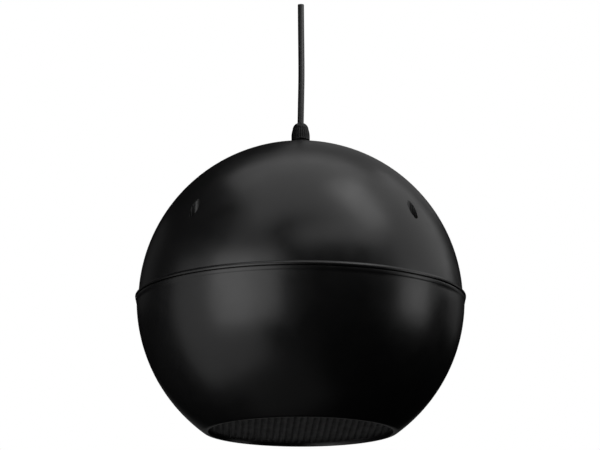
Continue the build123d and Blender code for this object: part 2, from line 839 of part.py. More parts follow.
screw_reach = leg_outer + core_nut_height
with BuildPart() as transformer_screws:
    with BuildSketch(Plane.YZ.offset(-screw_reach)):
        with Locations((0, core_middle_z)):
            with GridLocations(core_screw_run, core_screw_rise, 2, 2):
                Circle(core_screw_radius)
    extrude(amount=2 * screw_reach)
    for face_x in (-screw_reach, leg_outer):
        with BuildSketch(Plane.YZ.offset(face_x)):
            with Locations((0, core_middle_z)):
                with GridLocations(core_screw_run, core_screw_rise, 2, 2):
                    RegularPolygon(core_nut_across_flats / 2, 6, major_radius=False)
        extrude(amount=core_nut_height)

# Cable: the free length above the gland, and the same cable's tail, squeezed by the seal, to its end inside
with BuildPart() as cable:
    with BuildSketch(Plane.XY.offset(gland_top_z)):
        Circle(cable_radius)
    extrude(amount=cable_length)

with BuildPart() as cable_tail:
    with BuildSketch(Plane.XY.offset(tail_end_z)):
        Circle(cable_radius)
    extrude(amount=seal_z - tail_end_z)
    with BuildSketch(Plane.XY.offset(seal_z)):
        Circle(cable_radius - seal_squeeze)
    extrude(amount=gland_top_z - seal_z)

with BuildPart() as stop_collar:
    with BuildSketch(Plane.XY.offset(collar_z)):
        Circle(collar_radius)
        Circle(cable_radius, mode=Mode.SUBTRACT)
    extrude(amount=collar_height)

# Terminal block on top of the transformer, the cable's two cores, and the wires to the driver
block_y = -(core_width / 2 - block_width / 2)
with BuildPart() as terminal_block:
    with BuildSketch(Plane.XY.offset(core_top_z)):
        with Locations((0, block_y)):
            Rectangle(block_length, block_width)
    extrude(amount=block_height)
    fillet(edges().filter_by(Axis.Z), radius=corner_round)

with BuildPart() as cable_cores:
    for side in (-1, 1):
        x = side * core_wire_spacing / 2
        with BuildLine() as core_route:
            FilletPolyline(
                (x, 0, tail_end_z),
                (x, 0, tail_end_z - core_wire_straight),
                (2 * x, block_y, core_top_z + block_height + core_wire_straight),
                (2 * x, block_y, core_top_z + block_height),
                radius=core_wire_bend,
            )
        with BuildSketch(Plane(origin=core_route.line @ 0, z_dir=core_route.line % 0)):
            Circle(core_wire_radius)
        sweep(path=core_route.line)

wire_start_z = core_top_z + block_height / 2
with BuildPart() as driver_wires:
    for side in (-1, 1):
        x = side * wire_spacing / 2
        with BuildLine() as wire_route:
            FilletPolyline(
                (x, -core_width / 2, wire_start_z),
                (x, -core_width / 2 - wire_run, wire_start_z),
                (x, -core_width / 2 - wire_run, core_bottom_z),
                (x, -strip_radius, strip_top_z + wire_drop),
                (x, -strip_radius, strip_top_z),
                radius=wire_bend,
            )
        with BuildSketch(Plane(origin=wire_route.line @ 0, z_dir=wire_route.line % 0)):
            Circle(wire_radius)
        sweep(path=wire_route.line)

# Wadding: a soft ring glued inside the dome
with BuildPart() as wadding:
    with BuildSketch(Plane.XZ):
        with BuildLine():
            outer_face = upper_lining - wadding_gap
            inner_face = outer_face - wadding_thickness
            low = upper_radius - wadding_bottom_drop
            high = upper_radius - wadding_top_drop
            low_angle = angle_at_height(outer_face, low)
            high_angle = angle_at_height(outer_face, high)
            back = CenterArc((0, upper_centre_z), outer_face, low_angle, high_angle - low_angle)
            low_angle = angle_at_height(inner_face, low)
            high_angle = angle_at_height(inner_face, high)
            face = CenterArc((0, upper_centre_z), inner_face, low_angle, high_angle - low_angle)
            Line(back @ 0, face @ 0)
            Line(back @ 1, face @ 1)
        make_face()
    revolve(axis=Axis.Z)

pieces = {
    "upper_shell": upper_shell,
    "lower_shell": lower_shell,
    "seam_gasket": seam_gasket,
    "shell_screws": shell_screws,
    "grille": grille,
    "baffle": baffle,
    "baffle_screws": baffle_screws,
    "driver_gasket": driver_gasket,
    "basket": basket,
    "driver_screws": driver_screws,
    "cone": cone,
    "dust_cap": dust_cap,
    "voice_coil": voice_coil,
    "surround": surround,
    "spider": spider,
    "top_plate": top_plate,
    "magnet": magnet,
    "back_plate": back_plate,
    "terminal_strip": terminal_strip,
    "flexible_leads": flexible_leads,
    "gland_body": gland_body,
    "gland_nut": gland_nut,
    "gland_seal": gland_seal,
    "lock_nut": lock_nut,
    "hanger": hanger,
    "transformer_core": transformer_core,
    "transformer_winding": transformer_winding,
    "transformer_screws": transformer_screws,
    "cable": cable,
    "cable_tail": cable_tail,
    "stop_collar": stop_collar,
    "terminal_block": terminal_block,
    "cable_cores": cable_cores,
    "driver_wires": driver_wires,
    "wadding": wadding,
}
os.makedirs("parts", exist_ok=True)
for name, piece in pieces.items():
    piece.part.label = name
    export_step(piece.part, f"parts/{name}.step")
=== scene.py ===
import math

import bmesh
import bpy
from bpy.props import FloatProperty, FloatVectorProperty, IntProperty, PointerProperty
from bpy.types import Operator, Panel, PropertyGroup
from mathutils import Matrix, Vector


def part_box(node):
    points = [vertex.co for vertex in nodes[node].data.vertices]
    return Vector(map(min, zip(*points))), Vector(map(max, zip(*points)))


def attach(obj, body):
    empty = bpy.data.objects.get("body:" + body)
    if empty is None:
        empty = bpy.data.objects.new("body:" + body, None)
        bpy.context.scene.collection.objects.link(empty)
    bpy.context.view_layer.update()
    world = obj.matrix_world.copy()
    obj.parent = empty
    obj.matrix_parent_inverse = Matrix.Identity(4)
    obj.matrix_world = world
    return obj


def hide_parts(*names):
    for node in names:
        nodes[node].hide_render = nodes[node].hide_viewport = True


bl_info = {
    "name": "Pendant ball loudspeaker",
    "version": (1, 0, 0),
    "blender": (4, 5, 0),
    "location": "View3D > Sidebar > Loudspeaker",
    "description": "Builds the looks of a ball loudspeaker that hangs on its own cable",
    "category": "Add Mesh",
}

# Metres, in the part's own frame: +Z up along the axis of the ball, the front towards -Y
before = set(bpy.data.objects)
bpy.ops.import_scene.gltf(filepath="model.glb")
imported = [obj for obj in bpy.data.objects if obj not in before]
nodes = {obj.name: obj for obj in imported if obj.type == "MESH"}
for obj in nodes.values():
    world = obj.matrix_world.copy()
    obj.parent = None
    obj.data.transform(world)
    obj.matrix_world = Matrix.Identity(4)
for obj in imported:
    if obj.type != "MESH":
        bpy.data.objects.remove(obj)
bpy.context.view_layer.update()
shell_low, shell_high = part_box("lower_shell")
grille_low, grille_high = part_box("grille")
gland_low, gland_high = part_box("gland_body")
cable_low, cable_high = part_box("cable")
SEAM_Z = shell_high.z
RIM_Z = shell_low.z
POLE_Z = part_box("upper_shell")[1].z
NUT_TOP_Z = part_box("gland_nut")[1].z


# Sizes and colours

def length(label, about, default):
    """A length in metres that a user may change."""
    return FloatProperty(name=label, description=about, default=default, unit="LENGTH", subtype="DISTANCE", precision=5)


def colour(label, about, default):
    """A linear colour that a user may change."""
    return FloatVectorProperty(name=label, description=about, default=default, subtype="COLOR", min=0, max=1)


def angle(label, about, degrees):
    """An angle that a user may change."""
    return FloatProperty(name=label, description=about, default=math.radians(degrees), subtype="ANGLE")


def share(label, about, default):
    """A number from 0 to 1 that a user may change."""
    return FloatProperty(name=label, description=about, default=default, min=0, max=1)


class ShellSizes(PropertyGroup):
    """Sizes of the two halves of the ball."""

    dome_radius: length("Dome radius", "Radius of the upper half", 0.1388)
    dome_drop: length("Dome drop", "How far the dome's centre lies below the seam", 0.0025)
    bowl_radius: length("Bowl radius", "Radius of the lower half", 0.140)
    bowl_drop: length("Bowl drop", "How far the bowl's centre lies below the seam", 0.0008)
    wall: length("Wall", "Thickness of both shells", 0.003)
    edge_round: length("Edge round", "Rounding of the opening's inner edge", 0.0005)
    hem_radius: length("Hem radius", "Radius of the hem round the dome's lower edge", 0.1415)
    hem_inside: length("Hem inside", "Radius of the step inside the hem", 0.1389)
    hem_top: length("Hem top", "Height of the hem above the seam", 0.00105)
    hem_drop: length("Hem drop", "How far the hem reaches below the seam", 0.0004)
    hem_draft: length("Hem draft", "How far the hem's face leans in at its foot", 0.00015)
    hem_round: length("Hem round", "Rounding of the edges at the seam", 0.00025)
    flare_height: length("Flare height", "Height above the seam at which the dome flares out to the hem", 0.0038)
    pad_radius: length("Pad radius", "Radius of the thick pad inside the pole", 0.020)
    pad_drop: length("Pad drop", "How far the pad's face lies below the pole", 0.007)
    gland_hole_radius: length("Gland hole radius", "Radius of the hole for the gland's thread", 0.0063)
    spigot_depth: length("Spigot depth", "How far the dome's spigot reaches into the bowl", 0.006)
    spigot_wall: length("Spigot wall", "Thickness of the spigot", 0.0024)
    spigot_gap: length("Spigot gap", "Clearance between the spigot and the bowl", 0.0003)
    bead_drop: length("Bead drop", "How far the bowl's bead starts below the seam", 0.0015)
    bead_radius: length("Bead radius", "Radius of the bead's upper edge", 0.1406)
    bead_middle_radius: length("Bead middle", "Radius of the bead half way down", 0.14055)
    bead_middle_drop: length("Bead middle drop", "How far that place lies below the seam", 0.0028)
    bead_foot_drop: length("Bead foot", "How far the bead's foot lies below the seam", 0.0046)
    rim_radius: length("Rim radius", "Radius of the rim's corner before it is rounded", 0.0817)
    opening_radius: length("Opening radius", "Radius of the round opening", 0.0784)
    lip_height: length("Lip height", "Depth of the lip that carries the grille", 0.0029)
    rim_round: length("Rim round", "Width of the rounding on the rim's corner", 0.0013)
    rebate: length("Rebate", "Width of the rebate for the seam gasket", 0.0014)
    rebate_depth: length("Rebate depth", "Depth of that rebate", 0.0016)
    well_radius: length("Well radius", "Radius of the four screw wells", 0.00425)
    well_wall: length("Well wall", "Wall of the bosses around the wells", 0.002)
    mouth_round: length("Mouth round", "Rounding of the wells' mouths", 0.0008)
    well_floor: length("Well floor", "Height of the wells' floor above the seam", 0.003)
    well_circle: length("Well circle", "Distance of the wells from the axis", 0.1239)
    well_spread: angle("Well spread", "Angle of the front wells from the front", 46.8)
    turn_steps: IntProperty(name="Turn steps", description="Segments round the ball", default=256, min=64, max=512)


class GrilleSizes(PropertyGroup):
    """Sizes of the perforated sheet."""

    pitch: length("Hole pitch", "Distance between neighbouring holes", 0.00624)
    hole_radius: length("Hole radius", "Radius of one hole", 0.0021)
    cad_hole_side: length("Cut side", "Side of the solid sheet's square holes, which set the outermost ones", 0.0039)
    margin: length("Margin", "Solid sheet left at the edge", 0.001)
    hole_steps: IntProperty(name="Hole steps", description="Segments round one hole", default=16, min=8, max=24)


class GlandSizes(PropertyGroup):
    """Sizes of the cable gland on the dome's pole."""

    foot_radius: length("Foot radius", "Radius of the cap nut's foot", 0.0076)
    nut_height: length("Nut height", "Height of the cap nut", 0.015)
    nut_gap: length("Nut gap", "Gap between the cap nut and the flange", 0.0005)
    foot_height: length("Foot height", "Height of the chamfer at the foot", 0.0004)
    collar_height: length("Collar height", "Height at which the flutes start", 0.0013)
    flute_run: length("Flute run", "How quickly a flute reaches its depth", 0.0005)
    waist_radius: length("Waist radius", "Radius of the cap nut over its flutes", 0.008)
    waist_height: length("Waist height", "Height of the straight part", 0.0044)
    flank_dip: length("Flank dip", "How far the flank has come in half way up", 0.00035)
    flank_height: length("Flank height", "Height of that place", 0.0074)
    shoulder_radius: length("Shoulder radius", "Radius where the crown starts", 0.00695)
    shoulder_height: length("Shoulder height", "Height of that place", 0.0101)
    crown_radius: length("Crown radius", "Radius half way over the crown", 0.0062)
    crown_height: length("Crown height", "Height of that place", 0.0128)
    mouth_radius: length("Mouth radius", "Radius where the crown ends", 0.0042)
    bore_radius: length("Bore radius", "Radius of the hole for the cable", 0.0031)
    bore_height: length("Bore height", "Length of that hole", 0.002)
    cone_height: length("Cone height", "Length of the cone that presses the seal", 0.0025)
    thread_radius: length("Thread radius", "Radius of the thread in the cap nut", 0.0061)
    flute_count: IntProperty(name="Flutes", description="Number of flutes round the cap nut", default=24, min=6, max=60)
    flute_depth: length("Flute depth", "Depth of one flute", 0.0004)
    flute_steps: IntProperty(name="Flute steps", description="Segments across one flute", default=12, min=6, max=24)
    flange_flats: length("Flange width", "Width of the hexagon flange over its flats", 0.016)
    flange_chamfer: length("Flange chamfer", "Height of the chamfer on the hexagon's corners", 0.001)
    stem_radius: length("Stem radius", "Radius of the threaded stem", 0.006)
    edge_round: length("Edge round", "Rounding of the moulded edges", 0.00025)


class CableSizes(PropertyGroup):
    """Sizes of the cable that the ball hangs on."""

    radius: length("Cable radius", "Radius of the cable's sheath", 0.00275)
    core_radius: length("Core radius", "Radius of one insulated core at the cut end", 0.0009)
    wire_radius: length("Wire radius", "Radius of the copper in one core", 0.00045)
    core_spacing: length("Core spacing", "Distance between the two cores", 0.0024)
    bow: length("Bow", "How far the hanging cable bows to the side", 0.0008)


class Finishes(PropertyGroup):
    """Colours and roughness of the finishes that show."""

    shell: colour("Shell", "Satin black of both shells", (0.006, 0.006, 0.0063))
    shell_roughness: share("Shell roughness", "Roughness of the moulded skin", 0.31)
    nylon: colour("Gland", "Black nylon of the cable gland", (0.004, 0.004, 0.0042))
    nylon_roughness: share("Gland roughness", "Roughness of the nylon", 0.26)
    sheath: colour("Cable", "Black sheath of the cable", (0.002, 0.002, 0.0021))
    sheath_roughness: share("Cable roughness", "Roughness of the sheath", 0.3)
    sheet: colour("Grille", "Black paint of the perforated sheet", (0.042, 0.042, 0.043))
    sheet_roughness: share("Grille roughness", "Roughness of the sheet's paint", 0.42)


class StudioSettings(PropertyGroup):
    """Camera, light and floor."""

    camera_distance: length("Camera distance", "Level distance from the ball's axis to the camera", 2.2166)
    camera_drop: length("Camera drop", "How far the camera lies below the seam", 0.465)
    camera_turn: angle("Camera turn", "Angle of the camera round the axis", -1.75)
    camera_pitch: angle("Camera pitch", "How far the camera looks up", 13.452)
    lens: FloatProperty(name="Lens", description="Focal length in millimetres", default=158.64, min=10, max=400)
    shift_x: FloatProperty(name="Shift X", description="Level shift of the picture, in its widths", default=-0.001)
    shift_y: FloatProperty(name="Shift Y", description="Upright shift of the picture, in its widths", default=0.0008)
    floor_drop: length("Floor drop", "How far the floor lies below the rim", 4.0)
    floor_side: length("Floor side", "Side of the square floor", 6.0)
    flag_radius: length("Flag radius", "Radius of the black cloth round the ball and its lamps", 1.9)
    world_light: share("World light", "Strength of the world's light on the loudspeaker", 0.25)


class LoudspeakerSettings(PropertyGroup):
    """Everything that a user may change."""

    shell: PointerProperty(type=ShellSizes)
    grille: PointerProperty(type=GrilleSizes)
    gland: PointerProperty(type=GlandSizes)
    cable: PointerProperty(type=CableSizes)
    finish: PointerProperty(type=Finishes)
    studio: PointerProperty(type=StudioSettings)


# Materials

class Recipe:
    """A material's node tree, with a few short ways to add nodes to it."""

    def __init__(self, name):
        self.material = bpy.data.materials.new(name)
        self.material.use_nodes = True
        self.tree = self.material.node_tree
        self.shader = self.tree.nodes["Principled BSDF"]
        self.place = self.tree.nodes.new("ShaderNodeTexCoord").outputs["Object"]

    def add(self, kind, **values):
        """A new node, with its sockets' values by name."""
        node = self.tree.nodes.new(kind)
        for socket, value in values.items():
            node.inputs[socket.replace("_", " ")].default_value = value
        return node

    def link(self, source, target):
        self.tree.links.new(source, target)

    def noise(self, scale, detail=3.0, roughness=0.5, stretch=None):
        """Noise over the object, finer with a larger scale, in waves per metre."""
        node = self.add("ShaderNodeTexNoise", Scale=scale, Detail=detail, Roughness=roughness)
        place = self.place
        if stretch:
            mapping = self.add("ShaderNodeMapping", Scale=stretch)
            self.link(place, mapping.inputs["Vector"])
            place = mapping.outputs["Vector"]
        self.link(place, node.inputs["Vector"])
        return node.outputs["Fac"]

    def span(self, source, low, high, source_low=0.3, source_high=0.7):
        """Maps the middle of a noise's range to low...high."""
        node = self.add("ShaderNodeMapRange", From_Min=source_low, From_Max=source_high, To_Min=low, To_Max=high)
        self.link(source, node.inputs["Value"])
        return node.outputs["Result"]

    def tint(self, source, dark, light, low=0.35, high=0.65):
        """A colour between dark and light by a noise."""
        node = self.tree.nodes.new("ShaderNodeValToRGB")
        node.color_ramp.elements[0].position = low
        node.color_ramp.elements[0].color = (*dark, 1)
        node.color_ramp.elements[1].position = high
        node.color_ramp.elements[1].color = (*light, 1)
        self.link(source, node.inputs["Fac"])
        self.link(node.outputs["Color"], self.shader.inputs["Base Color"])

    def bump(self, source, distance, strength=1.0, under=None):
        """Raises the surface by a noise, over an earlier bump if there is one."""
        node = self.add("ShaderNodeBump", Strength=strength, Distance=distance)
        self.link(source, node.inputs["Height"])
        if under:
            self.link(under, node.inputs["Normal"])
        return node.outputs["Normal"]

    def normal(self, source):
        self.link(source, self.shader.inputs["Normal"])

    def gloss(self, source, low, high):
        """A roughness between low and high by a noise."""
        self.link(self.span(source, low, high), self.shader.inputs["Roughness"])

    def wave(self, pitch, axis, distortion):
        """Light and dark bands across an axis, each about as wide as the pitch."""
        node = self.add("ShaderNodeTexWave", Scale=0.5 / pitch / math.pi, Distortion=distortion)
        node.bands_direction = axis
        self.link(self.place, node.inputs["Vector"])
        return node.outputs["Fac"]

    def fix(self, socket, value):
        """Sets a value of the shader that is the same all over."""
        self.shader.inputs[socket].default_value = value


def shade(colour_value, factor):
    """The same colour, lighter or darker."""
    return tuple(min(1.0, part * factor) for part in colour_value)


def moulded_plastic(name, base, roughness, grain=2600.0, depth=0.000006, mottle=22.0, specular=0.5):
    """Moulded plastic: a fine spark-eroded grain, faint flow marks and a little wear in the gloss."""
    recipe = Recipe(name)
    recipe.tint(recipe.noise(mottle, 4.0), shade(base, 0.9), shade(base, 1.1))
    recipe.gloss(recipe.noise(mottle * 3, 5.0), roughness - 0.03, roughness + 0.03)
    recipe.fix("IOR", 1.5)
    recipe.fix("Specular IOR Level", specular)
    recipe.normal(recipe.bump(recipe.noise(grain, 2.0), depth))
    return recipe.material


def painted_sheet(name, base, roughness):
    """Powder-coated steel: a soft orange peel with fine grit."""
    recipe = Recipe(name)
    recipe.tint(recipe.noise(60.0, 4.0), shade(base, 0.85), shade(base, 1.15))
    recipe.gloss(recipe.noise(90.0), roughness - 0.05, roughness + 0.05)
    peel = recipe.bump(recipe.noise(500.0, 2.0), 0.00002)
    recipe.normal(recipe.bump(recipe.noise(3000.0, 1.0), 0.000006, under=peel))
    return recipe.material


def rubber(name, base, roughness, stretch=None, specular=0.5):
    """Soft vinyl or rubber: matt, with a fine drawn or moulded skin."""
    recipe = Recipe(name)
    recipe.tint(recipe.noise(40.0, 3.0, stretch=stretch), shade(base, 0.85), shade(base, 1.15))
    recipe.gloss(recipe.noise(150.0, stretch=stretch), roughness - 0.06, roughness + 0.06)
    recipe.fix("Specular IOR Level", specular)
    recipe.normal(recipe.bump(recipe.noise(2500.0, 2.0, stretch=stretch), 0.000003))
    return recipe.material


def metal(name, base, roughness, stretch=(1, 1, 1)):
    """Plain metal with fine marks along one direction."""
    recipe = Recipe(name)
    recipe.fix("Metallic", 1.0)
    recipe.tint(recipe.noise(120.0, 4.0), shade(base, 0.88), shade(base, 1.08))
    recipe.gloss(recipe.noise(300.0, 3.0, stretch=stretch), roughness - 0.08, roughness + 0.08)
    recipe.normal(recipe.bump(recipe.noise(900.0, 2.0, stretch=stretch), 0.000008))
    return recipe.material


def pressed_pulp(name, base):
    """Pressed paper pulp: short fibres and a dull, uneven face."""
    recipe = Recipe(name)
    recipe.tint(recipe.noise(900.0, 6.0, 0.7, stretch=(1, 0.4, 1)), shade(base, 0.6), shade(base, 1.6))
    recipe.gloss(recipe.noise(250.0), 0.75, 0.9)
    fibres = recipe.bump(recipe.noise(700.0, 5.0, 0.6, stretch=(0.35, 1, 1)), 0.00008)
    recipe.normal(recipe.bump(recipe.noise(1600.0, 3.0), 0.00003, under=fibres))
    return recipe.material


def woven(name, base, pitch=0.0007, sheen=0.2):
    """Doped cloth: a plain weave under a dull coat."""
    recipe = Recipe(name)
    waves = [recipe.wave(pitch, axis, 0.6) for axis in ("X", "Y")]
    recipe.tint(recipe.noise(300.0, 4.0), shade(base, 0.8), shade(base, 1.2))
    recipe.gloss(recipe.noise(400.0), 0.7, 0.9)
    recipe.fix("Sheen Weight", sheen)
    warp = recipe.bump(waves[0], 0.00006)
    recipe.normal(recipe.bump(waves[1], 0.00006, under=warp))
    return recipe.material


def fibre_fill(name, base):
    """Loose fibre: fluffy, pale and matt."""
    recipe = Recipe(name)
    recipe.tint(recipe.noise(180.0, 6.0, 0.7), shade(base, 0.75), base)
    recipe.gloss(recipe.noise(200.0), 0.85, 1.0)
    recipe.fix("Sheen Weight", 0.4)
    recipe.normal(recipe.bump(recipe.noise(350.0, 6.0, 0.8), 0.001))
    return recipe.material


def laminations(name, base):
    """Stacked transformer sheets under varnish: fine stripes across the stack."""
    recipe = Recipe(name)
    sheets = recipe.wave(0.0005, "X", 0.3)
    recipe.fix("Metallic", 0.7)
    recipe.tint(sheets, shade(base, 0.5), shade(base, 1.2), 0.2, 0.8)
    recipe.gloss(recipe.noise(90.0), 0.35, 0.55)
    recipe.normal(recipe.bump(sheets, 0.00008))
    return recipe.material


def wound_wire(name, base):
    """Enamelled wire wound in even turns."""
    recipe = Recipe(name)
    turns = recipe.wave(0.0004, "Z", 0.2)
    recipe.fix("Metallic", 1.0)
    recipe.tint(recipe.noise(150.0), shade(base, 0.8), shade(base, 1.1))
    recipe.gloss(recipe.noise(200.0), 0.2, 0.35)
    recipe.normal(recipe.bump(turns, 0.00015))
    return recipe.material


def dress(piece, material):
    """Gives a piece one material all over."""
    piece.data.materials.clear()
    piece.data.materials.append(material)


# Meshes

class Pen:
    """Draws a profile in the XZ plane: lines by extruding its tip, arcs by spinning it."""

    def __init__(self, mesh, x, z):
        self.mesh = mesh
        self.first = self.tip = mesh.verts.new((x, 0, z))

    def line(self, *points):
        for x, z in points:
            step = bmesh.ops.extrude_vert_indiv(self.mesh, verts=[self.tip])
            self.tip = step["verts"][0]
            self.tip.co = (x, 0, z)

    def arc(self, x, z, angle, steps):
        """Turns the tip about the point x, z; a positive angle turns +X towards +Z."""
        turned = bmesh.ops.spin(
            self.mesh, geom=[self.tip], cent=(x, 0, z), axis=(0, -1, 0), angle=angle, steps=steps, use_merge=False
        )
        self.tip = [item for item in turned["geom_last"] if isinstance(item, bmesh.types.BMVert)][0]

    def close(self):
        self.mesh.edges.new((self.tip, self.first))


def arc_through(first, middle, last):
    """The centre and the angle of the arc through three points of the XZ plane, turning +X towards +Z."""
    (ax, az), (bx, bz), (cx, cz) = first, middle, last
    twice = 2 * (ax * (bz - cz) + bx * (cz - az) + cx * (az - bz))
    a, b, c = ax**2 + az**2, bx**2 + bz**2, cx**2 + cz**2
    x = (a * (bz - cz) + b * (cz - az) + c * (az - bz)) / twice
    z = (a * (cx - bx) + b * (ax - cx) + c * (bx - ax)) / twice
    turn = math.atan2(cz - z, cx - x) - math.atan2(az - z, ax - x)
    return x, z, turn % math.tau


def spin_profile(mesh, steps):
    """Turns everything drawn so far once round the Z axis and closes the seam and the poles."""
    drawn = [*mesh.verts, *mesh.edges]
    bmesh.ops.spin(
        mesh, geom=drawn, cent=(0, 0, 0), axis=(0, 0, 1), angle=math.tau, steps=steps, use_merge=True
    )
    bmesh.ops.remove_doubles(mesh, verts=mesh.verts, dist=1e-7)
    bmesh.ops.recalc_face_normals(mesh, faces=mesh.faces)


def ring_edges(mesh, radius, z, tolerance=2e-6):
    """The edges of the circle at this radius and height."""
    def on_ring(vertex):
        return abs(math.hypot(vertex.co.x, vertex.co.y) - radius) < tolerance and abs(vertex.co.z - z) < tolerance
    return [edge for edge in mesh.edges if all(on_ring(vertex) for vertex in edge.verts)]


def round_edges(mesh, edges, width, segments, clamp=True):
    """Rounds these edges, no wider than their faces let them if clamp is set."""
    bmesh.ops.bevel(
        mesh, geom=edges, offset=width, segments=segments, affect="EDGES", profile=0.5, material=-1, clamp_overlap=clamp
    )


def raise_faces(mesh, height):
    """Makes flat faces a solid of this height."""
    raised = bmesh.ops.extrude_face_region(mesh, geom=mesh.faces[:], use_keep_orig=True)
    moved = [item for item in raised["geom"] if isinstance(item, bmesh.types.BMVert)]
    bmesh.ops.translate(mesh, verts=moved, vec=(0, 0, height))


def round_bar(mesh, radius, low, high, segments, x=0):
    """An upright cylinder between two heights; returns its vertices."""
    place = Matrix.Translation((x, 0, (low + high) / 2))
    made = bmesh.ops.create_cone(
        mesh, cap_ends=True, segments=segments, radius1=radius, radius2=radius, depth=high - low, matrix=place
    )
    return made["verts"]


def new_object(name, data):
    """A new object in the scene."""
    made = bpy.data.objects.new(name, data)
    bpy.context.scene.collection.objects.link(made)
    return made


def mesh_object(name, mesh):
    """Makes the bmesh an object at the origin."""
    data = bpy.data.meshes.new(name)
    mesh.to_mesh(data)
    mesh.free()
    return new_object(name, data)


def smooth(piece, sharp):
    """Shades a piece smooth, but for edges sharper than the given angle."""
    piece.data.shade_smooth()
    piece.data.set_sharp_from_angle(angle=math.radians(sharp))


def finish_piece(name, mesh, sharp=30.0, body="root"):
    """Makes the bmesh a smooth piece that rides on a body."""
    piece = mesh_object(name, mesh)
    smooth(piece, sharp)
    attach(piece, body)
    return piece


def shape_by(piece, mesh, operation):
    """Cuts or joins a piece with a tool mesh, which is then removed."""
    bmesh.ops.recalc_face_normals(mesh, faces=mesh.faces)
    tool = mesh_object("tool", mesh)
    modifier = piece.modifiers.new("shape", "BOOLEAN")
    modifier.operation = operation
    modifier.solver = "EXACT"
    modifier.object = tool
    bpy.context.view_layer.update()
    made = bpy.data.meshes.new_from_object(piece.evaluated_get(bpy.context.evaluated_depsgraph_get()))
    piece.modifiers.remove(modifier)
    piece.data = made
    bpy.data.objects.remove(tool)


def reach(radius, height):
    """How far from the axis a ball's face is, at this height from its centre."""
    return math.sqrt(radius**2 - height**2)


def well_places(sizes):
    """The centres of the four screw wells."""
    angles = [sizes.well_spread, math.pi - sizes.well_spread, math.pi + sizes.well_spread, -sizes.well_spread]
    return [Vector((sizes.well_circle * math.sin(angle), -sizes.well_circle * math.cos(angle), 0)) for angle in angles]


def well_columns(sizes, radius, low, top_of):
    """One upright cylinder at each well, whose top follows the height that top_of gives."""
    mesh = bmesh.new()
    for place in well_places(sizes):
        at_place = Matrix.Translation(place)
        base = bmesh.ops.create_circle(mesh, cap_ends=True, segments=64, radius=radius, matrix=at_place)
        floor = [face for vertex in base["verts"][:1] for face in vertex.link_faces]
        for vertex in base["verts"]:
            vertex.co.z = low
        raised = bmesh.ops.extrude_face_region(mesh, geom=floor, use_keep_orig=True)
        for item in raised["geom"]:
            if isinstance(item, bmesh.types.BMVert):
                item.co.z = top_of(math.hypot(item.co.x, item.co.y))
    return mesh


def round_mouths(dome, sizes, centre_z):
    """Rounds the edge where each well opens in the dome's outer face."""
    mesh = bmesh.new()
    mesh.from_mesh(dome.data)
    centre = Vector((0, 0, centre_z))
    slack = 1e-5
    cleared = 1.6 * sizes.mouth_round

    def on_ball(vertex):
        return abs((vertex.co - centre).length - sizes.dome_radius) < slack

    for place in well_places(sizes):
        def off(vertex):
            return (vertex.co.xy - place.xy).length - sizes.well_radius

        def on_mouth(vertex):
            return on_ball(vertex) and abs(off(vertex)) < slack

        near = [vertex for vertex in mesh.verts if on_ball(vertex) and slack < off(vertex) < cleared]
        bmesh.ops.dissolve_verts(mesh, verts=near)
        mouth = [edge for edge in mesh.edges if all(on_mouth(vertex) for vertex in edge.verts)]
        round_edges(mesh, mouth, sizes.mouth_round, 5, clamp=False)
    mesh.to_mesh(dome.data)
    mesh.free()


def ball_normals(piece, centre_z, radius):
    """Gives the faces on the ball's outside the true normals of a ball, so that cuts leave no marks in the gloss."""
    data = piece.data
    centre = Vector((0, 0, centre_z))
    slack = 2e-5
    kept = [corner.vector.copy() for corner in data.corner_normals]
    for face in data.polygons:
        away = [(data.vertices[i].co - centre) for i in face.vertices]
        if all(abs(offset.length - radius) < slack for offset in away):
            for corner, offset in zip(face.loop_indices, away):
                kept[corner] = offset.normalized()
    data.normals_split_custom_set(kept)


# Operators, one for each piece or group of like pieces

